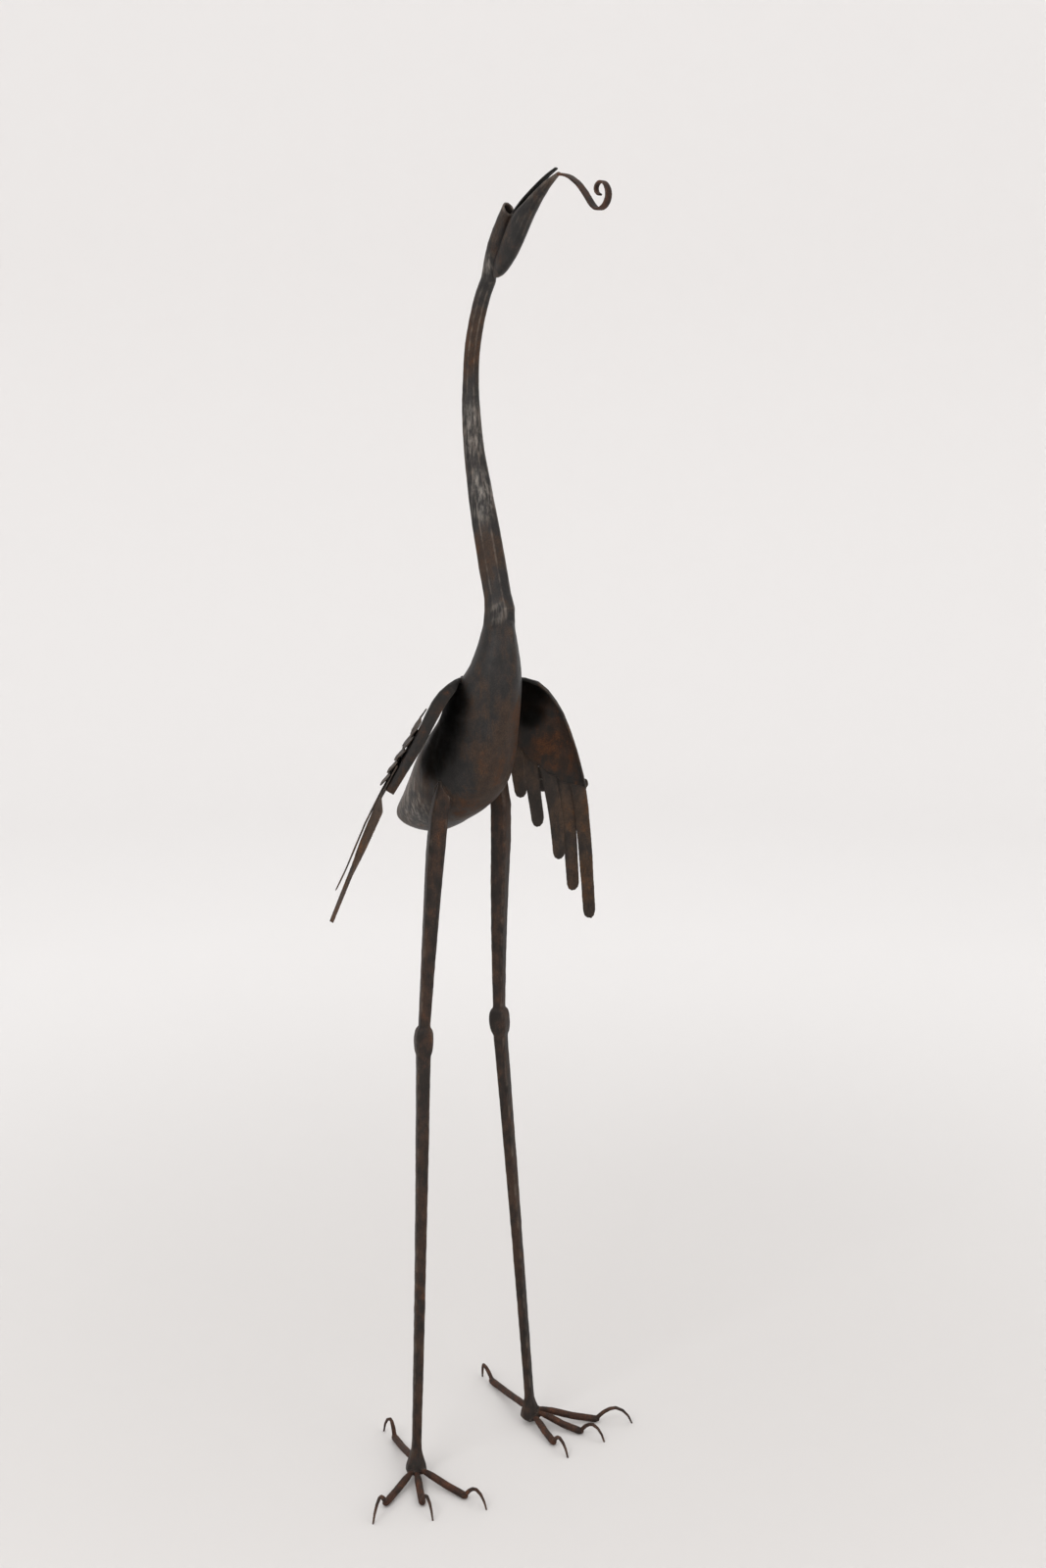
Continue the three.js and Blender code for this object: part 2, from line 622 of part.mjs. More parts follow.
const COVERT_ROWS = 5;
const FIRST_COVERT_TIP = 134.5;
const COVERT_PITCH = 17.1;
const COVERT_LENGTH = 19.2;
const COVERT_SLANT = 26; // how much higher a row sits at the trailing edge
const COVERT_LIFT = 3; // how far the lower edge of a row curls off the wing
const COVERT_CURL = 2; // over one, a row lies flat at first and lifts towards its lower edge
const COVERT_LOBES = 4;
const COVERT_NOTCH = 7; // depth of the notch between two short feathers
const COVERT_BACK = 1; // how far the rows stop short of the leading edge
const LAST_COVERT_BACK = -3.5; // the last row passes it
const COVERT_BED = WING_SHEET / 2 + COVERT_THICK / 2 + GAP + 0.1; // middle of a row that lies on the sheet
function covertRow(row, slide) {
  const tip = FIRST_COVERT_TIP + slide + row * COVERT_PITCH;
  const width = chordAt(tip);
  const back = row === COVERT_ROWS - 1 ? LAST_COVERT_BACK : COVERT_BACK;
  // the rows climb from the sheet onto the long feathers, one deep at the leading edge and two behind it
  const bed = (s, c) => {
    const chord = (c * WING_CHORD) / chordAt(s) + FEATHER_HALF;
    const start = featherStart(Math.min(chord, WING_CHORD));
    return COVERT_BED + lerp(1, 2, ease(c, 4, 14)) * LAYER * ease(s, start - 26, start - 2);
  };
  const place = (u, v) => {
    const lobe = (u * COVERT_LOBES) % 1;
    const notch = u === 1 || lobe < 1e-6 ? COVERT_NOTCH : 0;
    const s = lerp(tip - COVERT_LENGTH, tip - notch, v) - COVERT_SLANT * u ** 2;
    const c = (u > 0 ? lerp(COVERT_BACK, width, u) : back) * (chordAt(s) / chordAt(tip));
    return wingPoint(s, c, bed(s, c) + COVERT_LIFT * v ** COVERT_CURL);
  };
  const across = [];
  for (let lobe = 0; lobe < COVERT_LOBES; lobe++)
    for (const share of [0, 0.28, 0.72]) across.push((lobe + share) / COVERT_LOBES);
  across.push(1);
  return plate(place, across, [0, 0.55, 1], () => COVERT_THICK);
}

// A wing in place: turned at the shoulder by three angles, made larger by size and shifted. The right
// wing is the mirror image of the left one. Slide is how far its short feathers sit towards the tip.
function wing(side, { swing, droop, twist, size, shift, slide, turnedIn }) {
  const shoulder = V(SHOULDER.out, SHOULDER.back, SHOULDER.up).add(shift);
  const pose = new THREE.Matrix4()
    .makeScale(side, 1, 1)
    .multiply(new THREE.Matrix4().setPosition(shoulder))
    .multiply(new THREE.Matrix4().makeRotationZ(rad(swing)))
    .multiply(new THREE.Matrix4().makeRotationY(rad(droop)))
    .multiply(new THREE.Matrix4().makeRotationX(rad(twist)))
    .multiply(new THREE.Matrix4().makeScale(size, size, size));
  const name = side > 0 ? "left" : "right";
  const placed = (geometry) => {
    geometry.applyMatrix4(pose);
    if (side < 0) geometry.setIndex(Array.from(geometry.index.array).reverse());
    return geometry;
  };
  add(`${name}_wing_sheet`, cutBy(placed(wingSheet()), body(GAP)), ironBrown);
  feathers.forEach((spec, i) => {
    add(`${name}_long_feather_${i + 1}`, cutBy(placed(feather(spec, turnedIn)), body(GAP)), ironDark);
  });
  for (let row = 0; row < COVERT_ROWS; row++)
    add(`${name}_short_feather_row_${row + 1}`, placed(covertRow(row, slide)), ironBrown);
}
wing(-1, {
  swing: 0,
  droop: 0,
  twist: 0,
  size: 1,
  shift: V(0, 0, 0),
  slide: 0,
  turnedIn: { middle: 13, tip: 5 },
});
wing(1, {
  swing: -1.9,
  droop: 11.3,
  twist: -10.9,
  size: 1.038,
  shift: V(-1, -7, -4),
  slide: 12,
  turnedIn: { middle: 5, tip: 5 },
});

// The part's frame has its origin at the middle of the bottom of its box.
const box = new THREE.Box3().setFromObject(bird, true);
const middle = box.getCenter(V());
for (const mesh of bird.children) mesh.position.set(-middle.x, -middle.y, -box.min.z);

export default bird;
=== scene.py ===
# %% [markdown]
# # A wrought iron crane
# This lesson dresses the solids of a forged crane that stands 1.64 m tall. A smith drew the legs and the
# neck out of bar, raised the body from sheet, cut the wings out of thin plate and welded it all together.
# The solids give every size. What is left to make here is what the hammer, the fire and the weather did:
# soft edges, shallow hammer marks, weld beads, black scale and brown rust.

import math
import random

import bpy
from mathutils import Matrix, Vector
from mathutils.bvhtree import BVHTree


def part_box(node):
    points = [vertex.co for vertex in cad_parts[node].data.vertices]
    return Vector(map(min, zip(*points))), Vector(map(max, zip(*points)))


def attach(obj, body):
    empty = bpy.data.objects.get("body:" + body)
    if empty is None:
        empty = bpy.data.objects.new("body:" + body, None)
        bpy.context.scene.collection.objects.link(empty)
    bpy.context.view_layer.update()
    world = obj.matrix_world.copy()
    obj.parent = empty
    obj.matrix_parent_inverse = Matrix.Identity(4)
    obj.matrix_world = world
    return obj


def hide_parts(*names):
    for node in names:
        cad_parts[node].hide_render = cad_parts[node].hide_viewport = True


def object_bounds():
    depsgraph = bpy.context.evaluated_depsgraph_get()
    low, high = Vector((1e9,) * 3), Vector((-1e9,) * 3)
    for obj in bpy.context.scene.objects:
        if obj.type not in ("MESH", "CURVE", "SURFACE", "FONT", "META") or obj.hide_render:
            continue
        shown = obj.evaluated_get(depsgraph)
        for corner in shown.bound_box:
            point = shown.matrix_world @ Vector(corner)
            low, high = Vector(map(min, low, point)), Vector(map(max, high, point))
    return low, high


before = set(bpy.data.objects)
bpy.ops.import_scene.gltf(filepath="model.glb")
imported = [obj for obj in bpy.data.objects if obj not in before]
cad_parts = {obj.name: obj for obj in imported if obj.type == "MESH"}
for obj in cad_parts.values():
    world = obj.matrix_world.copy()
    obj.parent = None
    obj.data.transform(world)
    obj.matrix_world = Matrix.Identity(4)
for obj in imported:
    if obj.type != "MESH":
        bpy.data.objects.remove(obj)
cad_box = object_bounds()
scene = bpy.context.scene
MM = 0.001
SIDES = ("right", "left")
print("solids:", len(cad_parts), "height in mm:", round(cad_box[1][2] / MM))

# %% [markdown]
# ## Camera
# A tall bird is photographed from far enough away that its legs don't splay. A 50 mm lens at 2.6 m and a
# little below the bird's beak does that, and a tilt of 11 degrees down keeps the feet in the picture. The
# camera stands off the bird's right front corner, because from there both wings and both feet show.

# %% Camera
LENS_MM = 50
CAMERA_FROM_MIDDLE = (-1.7684, -1.9569)  # metres from the middle of the bird, on the floor
CAMERA_HEIGHT = 1.42
TILT_DOWN = math.radians(11)
HEADING = math.radians(-43)  # from straight behind the bird, turned to its right

lens = bpy.data.cameras.new("camera")
lens.lens = LENS_MM
camera = bpy.data.objects.new("camera", lens)
scene.collection.objects.link(camera)
camera.location = (*CAMERA_FROM_MIDDLE, CAMERA_HEIGHT)
camera.rotation_euler = (math.pi / 2 - TILT_DOWN, 0, HEADING)
scene.camera = camera
print("camera stands", round(math.hypot(*CAMERA_FROM_MIDDLE), 2), "m away")

# %% [markdown]
# ## Helpers
# Blender's operators act on whatever is selected, so each step starts from one piece alone. Modifiers are
# added and applied in one call, in the order in which a smith would work: form first, then hammer marks.

# %% One piece selected, and one modifier applied
def only(piece):
    """Deselects everything but one piece."""
    bpy.ops.object.select_all(action="DESELECT")
    piece.select_set(True)
    bpy.context.view_layer.objects.active = piece


def applied(piece, kind, **settings):
    """Adds one modifier with its settings and applies it."""
    only(piece)
    modifier = piece.modifiers.new(kind.lower(), kind)
    for name, value in settings.items():
        setattr(modifier, name, value)
    bpy.ops.object.modifier_apply(modifier=modifier.name)
    return piece


# %% A copy of a solid's mesh, merged to one skin
def copy_of(name, *nodes):
    """A new piece from copies of CAD nodes, with shared points merged and triangles paired to quads."""
    copies = []
    for node in nodes:
        copy = bpy.data.objects.new(name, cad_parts[node].data.copy())
        scene.collection.objects.link(copy)
        copies.append(copy)
    only(copies[0])
    for copy in copies:
        copy.select_set(True)
    if len(copies) > 1:
        bpy.ops.object.join()
    piece = copies[0]
    piece.data.name = name
    piece.data.materials.clear()
    bpy.ops.mesh.customdata_custom_splitnormals_clear()
    bpy.ops.object.mode_set(mode="EDIT")
    bpy.ops.mesh.select_all(action="SELECT")
    bpy.ops.mesh.remove_doubles(threshold=0.02 * MM)
    bpy.ops.mesh.tris_convert_to_quads(face_threshold=math.radians(35), shape_threshold=math.radians(60))
    bpy.ops.object.mode_set(mode="OBJECT")
    return piece


# %% An even skin, hammer marks and smooth shading
def remeshed(piece, voxel, smooth):
    """One even skin of small quads, smoothed in that many rounds."""
    applied(piece, "REMESH", mode="VOXEL", voxel_size=voxel)
    return applied(piece, "SMOOTH", factor=0.5, iterations=smooth)


def hammered(piece, kind, size, depth, direction="NORMAL"):
    """Moves the skin in and out by a pattern of that size. Depth is from its highest to its lowest point."""
    marks = bpy.data.textures.new(f"{piece.name}_{kind.lower()}", kind)
    marks.noise_scale = size
    return applied(
        piece, "DISPLACE", texture=marks, texture_coords="LOCAL",
        strength=depth, mid_level=0.5, direction=direction,
    )


def swollen(piece, amount):
    """Moves the whole skin out, to give back what rounding takes from a thin bar."""
    return applied(piece, "DISPLACE", strength=amount, mid_level=0)


def shaded(piece, sharp_over=45):
    """Smooth shading, but not across edges sharper than that many degrees."""
    only(piece)
    bpy.ops.object.shade_smooth_by_angle(angle=math.radians(sharp_over))
    return piece


# %% [markdown]
# Hands, a wire brush and wax reach the high edges of forged iron and miss its corners. So each piece stores
# how far every point of its skin stands out from a smoothed copy of itself, and the materials read that: the
# edges get lighter as wear and painted highlight, the corners darker as grime and painted shade.

# %% Edges and hollows
def proud_marked(piece, depth, rounds=14):
    """Stores how proud each point is: one half on flat faces, up to one on edges, down to zero in corners."""
    only(piece)
    bpy.ops.object.duplicate()
    smooth = bpy.context.object
    applied(smooth, "SMOOTH", factor=0.5, iterations=rounds)
    proud = []
    for vertex, even in zip(piece.data.vertices, smooth.data.vertices):
        out = (vertex.co - even.co).dot(vertex.normal)
        proud.append(min(1, max(0, 0.5 + 0.5 * out / depth)))
    attribute = piece.data.attributes.new("proud", "FLOAT", "POINT")
    attribute.data.foreach_set("value", proud)
    bpy.data.objects.remove(smooth)
    return piece


# %% [markdown]
# A finished skin has more triangles than its form needs, so the smallest are merged. Hammer marks can push a
# point past the box of the solids, so such points are pressed back. Then the piece gets its material, and the
# solids that it stands for are hidden.

# %% A lighter mesh, and a piece dressed
def lighter(piece, share):
    """Merges the smallest triangles until only that share of them is left."""
    return applied(piece, "DECIMATE", decimate_type="COLLAPSE", ratio=share)


def triangles_of(piece):
    """How many triangles a piece has."""
    return sum(len(face.vertices) - 2 for face in piece.data.polygons)


def kept_inside(piece):
    """Presses what hammer marks moved past the box of the solids back to it, as at the foot of a claw."""
    low, high = cad_box
    for vertex in piece.data.vertices:
        vertex.co = [min(max(c, a), b) for c, a, b in zip(vertex.co, low, high)]


def dressed(piece, material, slot, *nodes):
    """Gives a finished piece its material and its body, and hides the solids that it stands for. The slot is
    not used.
    """
    kept_inside(piece)
    piece.data.materials.clear()
    piece.data.materials.append(material)
    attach(piece, "root")
    if nodes:
        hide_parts(*nodes)
    print(piece.name, "triangles:", triangles_of(piece))
    return piece


# %% [markdown]
# ## Colours and the node helper
# Paint charts and photographs give colours as sRGB hex values, while a shader works in linear light, so one
# function turns the first into the second. Patterns are sized in millimetres of the real surface. One more
# function adds any node, whatever its kind.

# %% Colour, pattern size and nodes
def linear(hex_colour):
    """An sRGB hex colour as linear red, green, blue and alpha."""
    channels = [int(hex_colour[i : i + 2], 16) / 255 for i in (1, 3, 5)]
    return [c / 12.92 if c <= 0.04045 else ((c + 0.055) / 1.055) ** 2.4 for c in channels] + [1.0]


def per_metre(size_mm):
    """The scale that makes a pattern's features about that large on Object coordinates."""
    return 1 / (size_mm * MM)


def add(tree, kind, inputs, **settings):
    """Adds a shader node with its settings and links, and returns its outputs. Each input is a value, or the
    socket that feeds it, under the input's name or number."""
    made = tree.nodes.new("ShaderNode" + kind)
    for name, value in settings.items():
        setattr(made, name, value)
    for name, value in inputs.items():
        if isinstance(value, bpy.types.NodeSocket):
            tree.links.new(value, made.inputs[name])
        else:
            made.inputs[name].default_value = value
    return made.outputs


def new_material(name):
    """An empty material, its node tree, and the piece's Object coordinates."""
    material = bpy.data.materials.new(name)
    material.use_nodes = True
    tree = material.node_tree
    tree.nodes.clear()
    return material, tree, add(tree, "TexCoord", {})["Object"]


# %% [markdown]
# Rust, soot and worn places are all made in the same four ways. Patterns are mixed by shares, a mask tells
# where several patterns have passed a step, one layer is laid over another where its mask is one, and a spot
# marks a place on the bird.
# The numbered inputs below are these. Math has its two values at 0 and 1. Map Range has its value at 0, what
# it comes from at 1 and 2 and what it goes to at 3 and 4. Mix has its mask at 0, two numbers at 2 and 3 and
# two colours at 6 and 7.

# %% Patterns, masks, layers and spots
def mixed(tree, *parts):
    """Patterns added up, each by its share."""
    total = None
    for pattern, share in reversed(parts):
        part = add(tree, "Math", {0: pattern, 1: share}, operation="MULTIPLY")[0]
        total = part if total is None else add(tree, "Math", {0: part, 1: total}, operation="ADD")[0]
    return total


def where(tree, *steps):
    """The product of soft steps. Each is a pattern, the values it goes from and to, and what it gives there,
    which is zero and one if nothing is said."""
    mask = None
    for pattern, low, high, *ends in steps:
        inputs = {0: pattern, 1: low, 2: high, **dict(zip((3, 4), ends))}
        step = add(tree, "MapRange", inputs, interpolation_type="SMOOTHSTEP")[0]
        mask = step if mask is None else add(tree, "Math", {0: mask, 1: step}, operation="MULTIPLY")[0]
    return mask


def layered(tree, lowest, *layers, colours=False):
    """Numbers or colours laid over the lowest one in turn, each where its own mask is one."""
    kind, below, above, result = ("RGBA", 6, 7, 2) if colours else ("FLOAT", 2, 3, 0)
    for mask, layer in layers:
        lowest = add(tree, "Mix", {0: mask, below: lowest, above: layer}, data_type=kind)[result]
    return lowest


FULL_WITHIN = 0.3  # share of a spot's reach inside which it is full


def near_places(tree, place, spots):
    """One close to any of the spots, each a centre and a reach in mm, and zero beyond their reach."""
    total = None
    for *centre, reach in spots:
        at = [c * MM for c in centre]
        away = add(tree, "VectorMath", {0: place, 1: at}, operation="DISTANCE")["Value"]
        close = where(tree, (away, reach * MM, FULL_WITHIN * reach * MM))
        total = close if total is None else add(tree, "Math", {0: total, 1: close}, operation="MAXIMUM")[0]
    return total


# %% [markdown]
# ## Forged iron
# Iron that comes out of the fire wears a skin of scale: blue-black iron oxide, hard and slightly glossy once
# it is waxed. Where the skin is thin, damp turns it brown, and where it has flaked off, the bare iron rusts
# to orange brown. Handling and a wire brush leave the high edges a little brighter and smoother, and a
# grinder leaves fine scratches of bare grey metal. The material also paints light and shade: the edges are
# lightened further as painted highlight, the corners darkened as painted shade, some bright spots are painted
# highlight, and the hollows beside the wings are painted near black as shade.
# So the material lays three colours over each other by patterns of different size, all of them low in
# saturation, with the roughness rising from scale to rust. It is partly metallic: scale and wax mirror the
# studio at a grazing angle, but hardly face on.

# %% Forged iron, with its colours and the amount of rust as settings
WORN_EDGE_AND_HIGHLIGHT = "#786e65"
GROUND_IRON_AND_HIGHLIGHT = "#8d8780"
CORNER_GRIME_AND_SHADE = "#0e0a08"
PAINTED_SHADE_BLACK = "#060605"
BLOTCH_MM = 11
STREAK_MM = 3.5  # scratches of the grinder, coarser than real ones so that they show
GRAIN_MM = 1.3
PIT_MM = 3.2
SECOND_PATTERN_ASIDE = 0.37  # metres, so that rust doesn't follow the brown


def forged_iron(
    name, scale, brown, rust, browned=0.5, rusted=0.3, patch=42, drawn=1.0, rough=0.5,
    painted_shade_spots=(), rusty=(), ground_and_highlit=(),
):
    """Scale, brown and rust are hex colours. Browned and rusted are the shares that brown and rust cover,
    in patches of about that many mm. Drawn under one stretches the patterns along the height. The last three
    arguments are spots, each x, y, z and reach in mm: painted shade, rust, and the grinder's bare metal,
    which is partly painted highlight."""
    material, tree, place = new_material(name)

    patterns = []
    for stretch, aside, size, detail in (
        (drawn, 0.0, patch, 5.0),
        (drawn, SECOND_PATTERN_ASIDE, 0.7 * patch, 5.0),
        (0.7, 0.0, BLOTCH_MM, 8.0),
        (0.12, 0.0, STREAK_MM, 3.0),
    ):
        moved = {"Vector": place, "Scale": (1, 1, stretch), "Location": (aside, aside, aside)}
        noise = {"Vector": add(tree, "Mapping", moved)["Vector"], "Scale": per_metre(size)}
        patterns.append(add(tree, "TexNoise", {**noise, "Detail": detail, "Roughness": 0.6})["Fac"])
    broad, other, blotch, streak = patterns
    noise = {"Vector": place, "Scale": per_metre(GRAIN_MM), "Detail": 3.0, "Roughness": 0.6}
    grain = add(tree, "TexNoise", noise)["Fac"]
    pits = add(tree, "TexVoronoi", {"Vector": place, "Scale": per_metre(PIT_MM)})["Distance"]
    proud = add(tree, "Attribute", {}, attribute_name="proud")["Fac"]

    # Where scale gave way to brown and to rust.
    browner = mixed(tree, (broad, 0.5), (blotch, 0.3), (streak, 0.2))
    redder = mixed(tree, (other, 0.5), (blotch, 0.5))
    if rusty:
        more = mixed(tree, (near_places(tree, place, rusty), 0.13))
        browner = add(tree, "Math", {0: browner, 1: more}, operation="ADD")[0]
        redder = add(tree, "Math", {0: redder, 1: more}, operation="ADD")[0]
    brown_from = 0.59 - 0.24 * browned
    rust_from = 0.64 - 0.24 * rusted
    is_brown = where(tree, (browner, brown_from, brown_from + 0.14))
    is_rust = where(tree, (redder, rust_from, rust_from + 0.13), (grain, 0.3, 0.6, 0.3, 0.8))
    colour = layered(tree, linear(scale), (is_brown, linear(brown)), (is_rust, linear(rust)), colours=True)
    speck = where(tree, (grain, 0.3, 0.7, 0.6, 1.35), (blotch, 0.3, 0.7, 0.75, 1.2))
    colour = add(tree, "Mix", {0: 1.0, 6: colour, 7: speck}, data_type="RGBA", blend_type="MULTIPLY")[2]

    # Grime and painted shade in the corners, wear and painted highlight on the edges, and the marks of the
    # grinder.
    corner = mixed(tree, (where(tree, (proud, 0.44, 0.15)), 0.7))
    edge = where(tree, (proud, 0.6, 0.95), (blotch, 0.38, 0.62, 0.1, 0.55))
    colour = layered(tree, colour, (corner, linear(CORNER_GRIME_AND_SHADE)), (edge, linear(WORN_EDGE_AND_HIGHLIGHT)), colours=True)
    bare = mixed(tree, (edge, 0.5))
    # The grinder's spots are partly painted highlight: on the rump, along the neck and on the knob at its
    # foot.
    if ground_and_highlit:
        marks = where(tree, (streak, 0.35, 0.7), (blotch, 0.36, 0.6, 0.2, 1.0))
        spots = mixed(tree, (near_places(tree, place, ground_and_highlit), 0.7))
        marks = add(tree, "Math", {0: marks, 1: spots}, operation="MULTIPLY")[0]
        colour = layered(tree, colour, (marks, linear(GROUND_IRON_AND_HIGHLIGHT)), colours=True)
        bare = add(tree, "Math", {0: bare, 1: marks}, operation="MAXIMUM")[0]

    # Scale shines a little, brown less and rust hardly. Bare iron is smooth metal.
    duller = mixed(tree, (is_brown, 0.1))
    roughness = add(tree, "Math", {0: rough, 1: duller}, operation="ADD")[0]
    roughness = layered(tree, roughness, (is_rust, 0.82), (bare, 0.34))
    uneven = where(tree, (grain, 0.3, 0.7, -0.05, 0.07))
    roughness = add(tree, "Math", {0: roughness, 1: uneven}, operation="ADD")[0]
    metal = layered(tree, 0.45, (is_brown, 0.2), (is_rust, 0.0), (bare, 0.85))
    shine = layered(tree, 0.46, (is_brown, 0.26), (is_rust, 0.1))
    # Painted shade: near black, matt and without gloss at its spots, where a wing shades the body and the
    # inner face of a wing sheet.
    if painted_shade_spots:
        ragged = add(tree, "Math", {0: blotch, 1: -0.5}, operation="ADD")[0]
        spots = {0: near_places(tree, place, painted_shade_spots), 1: mixed(tree, (ragged, 0.8))}
        covered = add(tree, "Math", spots, operation="ADD")[0]
        outer = add(tree, "Attribute", {}, attribute_name="outer")["Fac"]
        painted_shade_mask = where(tree, (covered, 0.05, 1.15), (outer, 0.0, 1.0, 0.95, 0.0))
        colour = layered(tree, colour, (painted_shade_mask, linear(PAINTED_SHADE_BLACK)), colours=True)
        roughness = layered(tree, roughness, (painted_shade_mask, 1.0))
        metal = layered(tree, metal, (painted_shade_mask, 0.0))
        shine = layered(tree, shine, (painted_shade_mask, 0.03))

    # Fine grain, the raised edge of the rust, and pits, with their depths in mm.
    relief = {}
    for height, depth, strength in ((grain, 0.35, 0.7), (is_rust, 0.3, 0.6), (pits, 0.25, 0.4)):
        bump = {"Height": height, "Distance": depth * MM, "Strength": strength, **relief}
        relief = {"Normal": add(tree, "Bump", bump)["Normal"]}
    surface = {"Base Color": colour, "Metallic": metal, "Roughness": roughness, "Specular IOR Level": shine}
    shader = add(tree, "BsdfPrincipled", {**surface, **relief})
    add(tree, "OutputMaterial", {"Surface": shader["BSDF"]})
    return material


# %% The irons of this bird
# Waxed forge scale on body, neck and head: blue-black, browner down the bird's left front and up the neck,
# near black as painted shade where the right wing covers it, and ground bright over the rump and along the
# neck, partly as painted highlight.
body_iron = forged_iron(
    "waxed_forge_scale", "#242221", "#382b22", "#4a3223", browned=0.55, rusted=0.2, drawn=0.4, rough=0.46,
    painted_shade_spots=((-40, 22, 1010, 40), (-50, 32, 985, 50), (-54, 46, 960, 54), (-54, 58, 938, 48)),
    rusty=((20, -6, 935, 70), (24, -22, 985, 50), (-12, 30, 868, 52), (2, 44, 1440, 60), (0, 0, 1190, 40)),
    ground_and_highlit=((-36, 118, 880, 62), (-6, 36, 1340, 50), (-8, 10, 1262, 44), (-10, -26, 1122, 20),
            (-8, 0, 1530, 22)),
)
# Black fire scale of the upper beak, darkened further as painted shade inside the gape.
beak_iron = forged_iron(
    "fire_scale_and_painted_gape_shade", "#0c0b0a", "#17110d", "#2c1e15", browned=0.3, rusted=0.1, patch=18, rough=0.6
)
# Forged square bar: brown all over, with darker streaks along the bar from the draw of the hammer.
bar_iron = forged_iron(
    "brown_forged_bar", "#241d19", "#3a2b22", "#4c3426", browned=0.62, rusted=0.36, drawn=0.25, patch=26,
    rough=0.56, rusty=((-60, 70, 30, 60), (120, 90, 30, 60)),
)
# Round bar of the toes and strip of the tongue: thin scale, so it rusted evenly to a red brown.
toe_iron = forged_iron(
    "rusted_round_bar", "#2a1d16", "#422b20", "#573727", browned=0.8, rusted=0.5, patch=18, rough=0.6
)
# Sheet of the wings: black scale that flaked off in patches, orange brown in between, and near black as
# painted shade high on the left wing's inner face.
sheet_iron = forged_iron(
    "rusted_wing_sheet", "#191512", "#31231a", "#4a2f1e", browned=0.56, rusted=0.34, patch=26, rough=0.6,
    painted_shade_spots=((78, 14, 1016, 48), (76, 10, 985, 34)),
    rusty=((106, -6, 940, 46),),
)
# Strips of the long feathers: thin even brown over dark scale, rustier on the first one.
feather_iron = forged_iron(
    "brown_feather_strip", "#2a231e", "#3d3026", "#523723", browned=0.6, rusted=0.24, drawn=0.3, patch=34,
    rough=0.56, rusty=((150, -18, 850, 50), (160, -12, 760, 50), (-160, 20, 850, 60), (-180, 40, 780, 60)),
)
# Weld metal: lumpy, dark, brown in its hollows.
weld_iron = forged_iron(
    "weld_bead", "#211a16", "#35261d", "#472f21", browned=0.6, rusted=0.4, patch=9, rough=0.5
)
irons = (body_iron, beak_iron, bar_iron, toe_iron, sheet_iron, feather_iron, weld_iron)
print("irons:", [iron.name for iron in irons])

# %% [markdown]
# ## Body, neck and head
# The body is sheet raised over a stake into a pear and welded shut, the neck is a heavy bar forged to eight
# sides, the crown is sheet rolled to a tube and the jaw is folded to a leaf around the gape. The smith
# ground the joints flush, so they read as one form. Here the four solids reach a few millimetres into each
# other, are rebuilt as one even skin by a voxel remesh and smoothed across the joints. The sheet swells a
# little under the right shoulder, so that less light falls between body and wing. Then come the marks of the
# hammer: broad shallow hollows first and small ones over them.

# %% The rounded body with an open neck
LAP = 3 * MM  # how deep a piece reaches into the next
JOINT_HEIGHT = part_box("neck")[0].z


def faces_selected(piece, wanted):
    """Selects the faces for which a test is true, and goes into edit mode."""
    only(piece)
    bpy.ops.object.mode_set(mode="EDIT")
    bpy.ops.mesh.select_mode(type="FACE")
    bpy.ops.mesh.select_all(action="DESELECT")
    bpy.ops.object.mode_set(mode="OBJECT")
    for face in piece.data.polygons:
        face.select = wanted(face)
    bpy.ops.object.mode_set(mode="EDIT")


body_form = copy_of("body_form", "body")
faces_selected(body_form, lambda face: face.normal.z > 0.9 and face.center.z > JOINT_HEIGHT - 2 * MM)
bpy.ops.mesh.delete(type="FACE")
bpy.ops.object.mode_set(mode="OBJECT")
applied(body_form, "SUBSURF", levels=2, render_levels=2)
only(body_form)
bpy.ops.object.mode_set(mode="EDIT")
bpy.ops.mesh.select_mode(type="EDGE")
bpy.ops.mesh.select_all(action="DESELECT")
bpy.ops.mesh.select_non_manifold(
    extend=False, use_wire=False, use_multi_face=False, use_non_contiguous=False, use_verts=False
)
bpy.ops.mesh.extrude_edges_move()
bpy.ops.transform.translate(value=(0, 0, LAP))
bpy.ops.mesh.edge_face_add()
bpy.ops.object.mode_set(mode="OBJECT")
print("rounded body, triangles:", triangles_of(body_form))


# %% The four solids as one skin
def lengthened(piece, pick):
    """Moves the flat end of a bar, the highest or the lowest face, out along its own normal."""
    end = pick(piece.data.polygons, key=lambda face: face.center.z)
    middle = end.center.copy()
    normal = end.normal.copy()
    for vertex in piece.data.vertices:
        if abs((vertex.co - middle).dot(normal)) < 0.2 * MM:
            vertex.co += LAP * normal


def near_height(piece, name, middle, reach):
    """A vertex group that is full at one height and fades out above and below it."""
    group = piece.vertex_groups.new(name=name)
    for vertex in piece.data.vertices:
        weight = 1 - abs(vertex.co.z - middle) / reach
        if weight > 0:
            group.add([vertex.index], min(1, 2 * weight), "REPLACE")
    return name


def near_point(piece, name, middle, reach):
    """A vertex group that is full at one point and fades out around it."""
    group = piece.vertex_groups.new(name=name)
    for vertex in piece.data.vertices:
        away = (vertex.co - middle).length / reach
        if away < 1:
            group.add([vertex.index], (1 - away**2) ** 2, "REPLACE")
    return name


HEAD_JOINT_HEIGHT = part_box("neck")[1].z + 10 * MM
UNDER_SHOULDER = Vector((-32, 28, 1008)) * MM
SWELLING = 7 * MM

